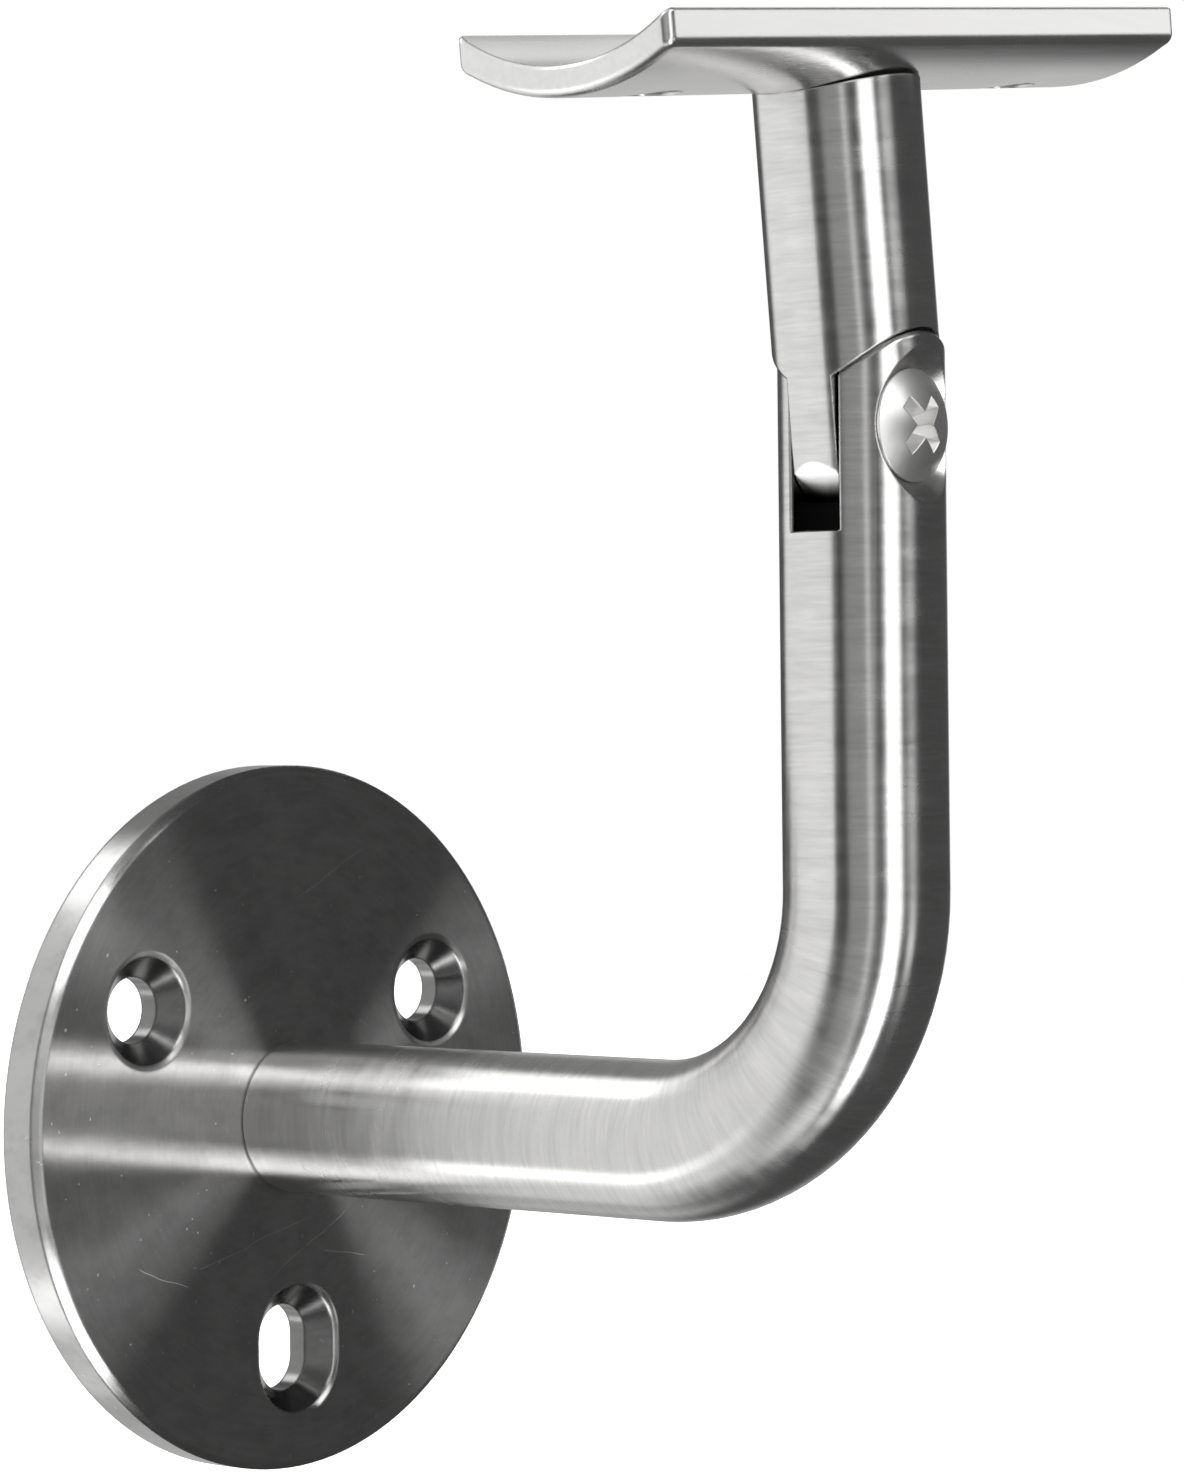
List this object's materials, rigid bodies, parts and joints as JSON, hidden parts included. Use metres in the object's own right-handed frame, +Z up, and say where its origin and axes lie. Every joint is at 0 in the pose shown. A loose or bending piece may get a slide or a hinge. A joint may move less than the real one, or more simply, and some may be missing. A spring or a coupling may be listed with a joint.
{
  "type": "handrail bracket",
  "caption": "Wall bracket for a round handrail: a disc flange, a bent round arm with a forked top, and a curved saddle on a stem that tilts on a cross-recess screw.",
  "frame": {"origin": "centre of the flange's rear face, on the wall", "axes": "+X out of the wall along the arm, +Y sideways along the wall, +Z up along the post"},
  "size_m": [0.082, 0.0703, 0.1301],
  "materials": {
    "flange_steel": "turned satin stainless steel",
    "arm_steel": "satin stainless steel, ground along the bar",
    "screw_steel": "bright stainless steel",
    "stem_steel": "satin stainless steel, ground along the stem",
    "saddle_steel": "smooth satin stainless steel"
  },
  "bodies": {
    "arm": {"wall_flange": "flange_steel", "support_arm": "arm_steel", "hinge_screw": "screw_steel"},
    "saddle": {"saddle_stem": "stem_steel", "saddle_plate": "saddle_steel"}
  },
  "joints": [
    {"name": "saddle_tilt", "type": "hinge", "parent": "arm", "child": "saddle", "pos_m": [0.071, 0, 0.0605], "axis": [1, 0, 0], "range_deg": [-51, 39]}
  ]
}
